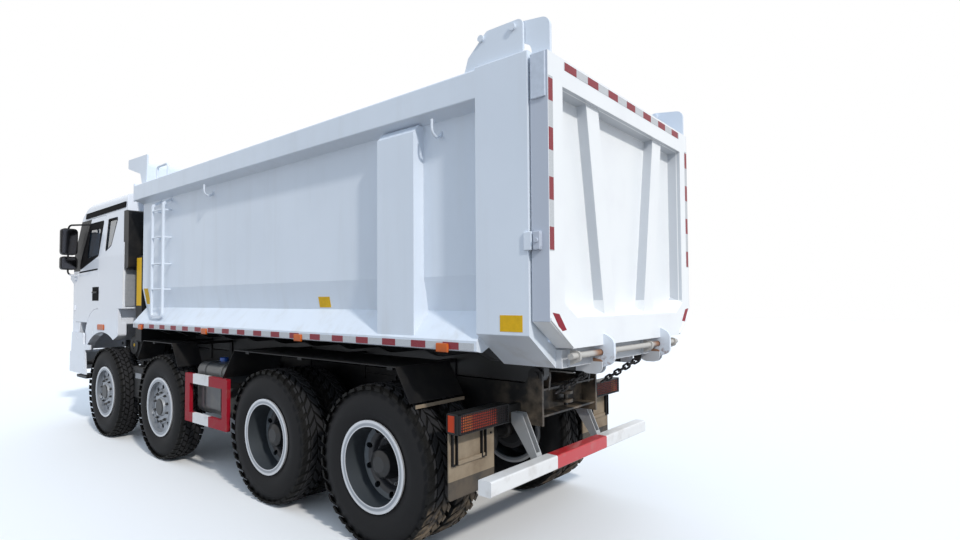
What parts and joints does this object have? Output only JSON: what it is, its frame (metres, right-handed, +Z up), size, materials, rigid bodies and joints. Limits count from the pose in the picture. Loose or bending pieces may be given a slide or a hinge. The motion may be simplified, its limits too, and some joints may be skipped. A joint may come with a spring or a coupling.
{
  "type": "dump truck",
  "caption": "Four-axle tipping truck with a welded steel body, top-hinged tailgate, front telescopic hoist and tilting cab.",
  "frame": {"origin": "on the ground, below the middle of the overall length and width", "axes": "+X forward, +Y to the truck's left, +Z up"},
  "size_m": [8.63, 2.974, 3.7793],
  "materials": {
    "frame_black": "semi-gloss black paint",
    "bed_white": "white paint, satin",
    "chain_steel": "dull black steel",
    "cab_white": "white paint, gloss",
    "guard_red": "red and white paint",
    "guard_bar": "white paint with a red middle",
    "axle_black": "black paint",
    "spring_steel": "black paint",
    "tank_metal": "grey paint",
    "rubber": "matt",
    "tyre": "matt",
    "rim_silver": "silver paint",
    "lamp_red": "lenses in black housings",
    "glass": "tinted",
    "cab_trim": "grained",
    "hoist_paint": "black paint",
    "hoist_chrome": "polished"
  },
  "bodies": {
    "chassis": {"frame_rails": "frame_black", "crossmembers": "frame_black", "underrun_guard": "guard_bar", "axles": "axle_black", "leaf_springs": "spring_steel", "bumper": "cab_white", "cab_steps": "frame_black", "driveline": "frame_black", "fuel_tank": "tank_metal", "battery_box": "frame_black", "air_filter": "frame_black", "oil_tank": "frame_black", "side_guards": "guard_red", "mudguards": "frame_black", "mud_flaps": "rubber", "lamps": "lamp_red"},
    "bed": {"bed_tub": "bed_white", "side_rails": "bed_white", "side_posts": "bed_white", "cab_guard": "bed_white", "bed_frame": "bed_white", "bed_ladder": "bed_white", "bed_brackets": "bed_white", "tail_chains": "chain_steel"},
    "tailgate": {"tailgate": "bed_white", "gate_fittings": "bed_white"},
    "cab": {"cab_shell": "cab_white", "cab_glass": "glass", "cab_inside": "cab_trim", "air_intake": "frame_black"},
    "door_left": {"door_left": "cab_white", "door_glass_left": "glass"},
    "door_right": {"door_right": "cab_white", "door_glass_right": "glass"},
    "steering_wheel": {"steering_wheel": "cab_trim"},
    "hoist_barrel": {"hoist_barrel": "hoist_paint"},
    "hoist_stage_1": {"hoist_stage_1": "hoist_chrome"},
    "hoist_stage_2": {"hoist_stage_2": "hoist_chrome"},
    "hoist_stage_3": {"hoist_stage_3": "hoist_chrome"},
    "knuckle_1_left": {"knuckle_1_left": "axle_black"},
    "knuckle_1_right": {"knuckle_1_right": "axle_black"},
    "knuckle_2_left": {"knuckle_2_left": "axle_black"},
    "knuckle_2_right": {"knuckle_2_right": "axle_black"},
    "wheel_1_left": {"tyre_1_left": "tyre", "rim_1_left": "rim_silver"},
    "wheel_1_right": {"tyre_1_right": "tyre", "rim_1_right": "rim_silver"},
    "wheel_2_left": {"tyre_2_left": "tyre", "rim_2_left": "rim_silver"},
    "wheel_2_right": {"tyre_2_right": "tyre", "rim_2_right": "rim_silver"},
    "wheels_3_left": {"tyres_3_left": "tyre", "rims_3_left": "rim_silver"},
    "wheels_3_right": {"tyres_3_right": "tyre", "rims_3_right": "rim_silver"},
    "wheels_4_left": {"tyres_4_left": "tyre", "rims_4_left": "rim_silver"},
    "wheels_4_right": {"tyres_4_right": "tyre", "rims_4_right": "rim_silver"}
  },
  "joints": [
    {"name": "bed_tilt", "type": "hinge", "parent": "chassis", "child": "bed", "pos_m": [-3.665, 0, 1.3], "axis": [0, -1, 0], "range_deg": [0, 50]},
    {"name": "tailgate_swing", "type": "hinge", "parent": "bed", "child": "tailgate", "pos_m": [-3.995, 0, 3.555], "axis": [0, 1, 0], "range_deg": [0, 60]},
    {"name": "cab_tilt", "type": "hinge", "parent": "chassis", "child": "cab", "pos_m": [4.105, 0, 1.18], "axis": [0, 1, 0], "range_deg": [0, 50]},
    {"name": "door_left_swing", "type": "hinge", "parent": "cab", "child": "door_left", "pos_m": [4.02, 1.225, 2], "axis": [0, 0, -1], "range_deg": [0, 70]},
    {"name": "door_right_swing", "type": "hinge", "parent": "cab", "child": "door_right", "pos_m": [4.02, -1.225, 2], "axis": [0, 0, 1], "range_deg": [0, 70]},
    {"name": "steer_1_left", "type": "hinge", "parent": "chassis", "child": "knuckle_1_left", "pos_m": [2.715, 0.925, 0.613], "axis": [0, 0, 1], "range_deg": [-35, 35]},
    {"name": "steer_1_right", "type": "hinge", "parent": "chassis", "child": "knuckle_1_right", "pos_m": [2.715, -0.925, 0.613], "axis": [0, 0, 1], "range_deg": [-35, 35]},
    {"name": "steer_2_left", "type": "hinge", "parent": "chassis", "child": "knuckle_2_left", "pos_m": [0.965, 0.925, 0.613], "axis": [0, 0, 1], "range_deg": [-22.75, 22.75]},
    {"name": "steer_2_right", "type": "hinge", "parent": "chassis", "child": "knuckle_2_right", "pos_m": [0.965, -0.925, 0.613], "axis": [0, 0, 1], "range_deg": [-22.75, 22.75]},
    {"name": "steering_wheel_turn", "type": "hinge", "parent": "cab", "child": "steering_wheel", "pos_m": [3.615, 0.65, 2.13], "axis": [-0.5299, 0, 0.848], "range_deg": [-525, 525]},
    {"name": "spin_1_left", "type": "hinge", "parent": "knuckle_1_left", "child": "wheel_1_left", "pos_m": [2.715, 1.245, 0.613], "axis": [0, 1, 0], "continuous": true},
    {"name": "spin_1_right", "type": "hinge", "parent": "knuckle_1_right", "child": "wheel_1_right", "pos_m": [2.715, -1.245, 0.613], "axis": [0, 1, 0], "continuous": true},
    {"name": "spin_2_left", "type": "hinge", "parent": "knuckle_2_left", "child": "wheel_2_left", "pos_m": [0.965, 1.245, 0.613], "axis": [0, 1, 0], "continuous": true},
    {"name": "spin_2_right", "type": "hinge", "parent": "knuckle_2_right", "child": "wheel_2_right", "pos_m": [0.965, -1.245, 0.613], "axis": [0, 1, 0], "continuous": true},
    {"name": "spin_3_left", "type": "hinge", "parent": "chassis", "child": "wheels_3_left", "pos_m": [-1.285, 1.245, 0.613], "axis": [0, 1, 0], "continuous": true},
    {"name": "spin_3_right", "type": "hinge", "parent": "chassis", "child": "wheels_3_right", "pos_m": [-1.285, -1.245, 0.613], "axis": [0, 1, 0], "continuous": true},
    {"name": "spin_4_left", "type": "hinge", "parent": "chassis", "child": "wheels_4_left", "pos_m": [-2.715, 1.245, 0.613], "axis": [0, 1, 0], "continuous": true},
    {"name": "spin_4_right", "type": "hinge", "parent": "chassis", "child": "wheels_4_right", "pos_m": [-2.715, -1.245, 0.613], "axis": [0, 1, 0], "continuous": true},
    {"name": "hoist_lean", "type": "hinge", "parent": "bed", "child": "hoist_barrel", "pos_m": [1.985, 0, 1.66], "axis": [0, 1, 0], "range_deg": [0, 24.37]},
    {"name": "hoist_out_1", "type": "slide", "parent": "hoist_barrel", "child": "hoist_stage_1", "axis": [0, 0, -1], "range_m": [0, 1.57436]},
    {"name": "hoist_out_2", "type": "slide", "parent": "hoist_stage_1", "child": "hoist_stage_2", "axis": [0, 0, -1], "range_m": [0, 1.57436]},
    {"name": "hoist_out_3", "type": "slide", "parent": "hoist_stage_2", "child": "hoist_stage_3", "axis": [0, 0, -1], "range_m": [0, 1.57436]}
  ],
  "couplings": [
    {"joint": "hoist_lean", "follows": "bed_tilt", "ratio": 0.48721},
    {"joint": "hoist_out_1", "follows": "bed_tilt", "m_per_rad": 1.8035},
    {"joint": "hoist_out_2", "follows": "bed_tilt", "m_per_rad": 1.8035},
    {"joint": "hoist_out_3", "follows": "bed_tilt", "m_per_rad": 1.8035},
    {"joint": "steer_1_right", "follows": "steer_1_left", "ratio": 1},
    {"joint": "steer_2_left", "follows": "steer_1_left", "ratio": 0.65},
    {"joint": "steer_2_right", "follows": "steer_1_left", "ratio": 0.65},
    {"joint": "steering_wheel_turn", "follows": "steer_1_left", "ratio": 15}
  ]
}
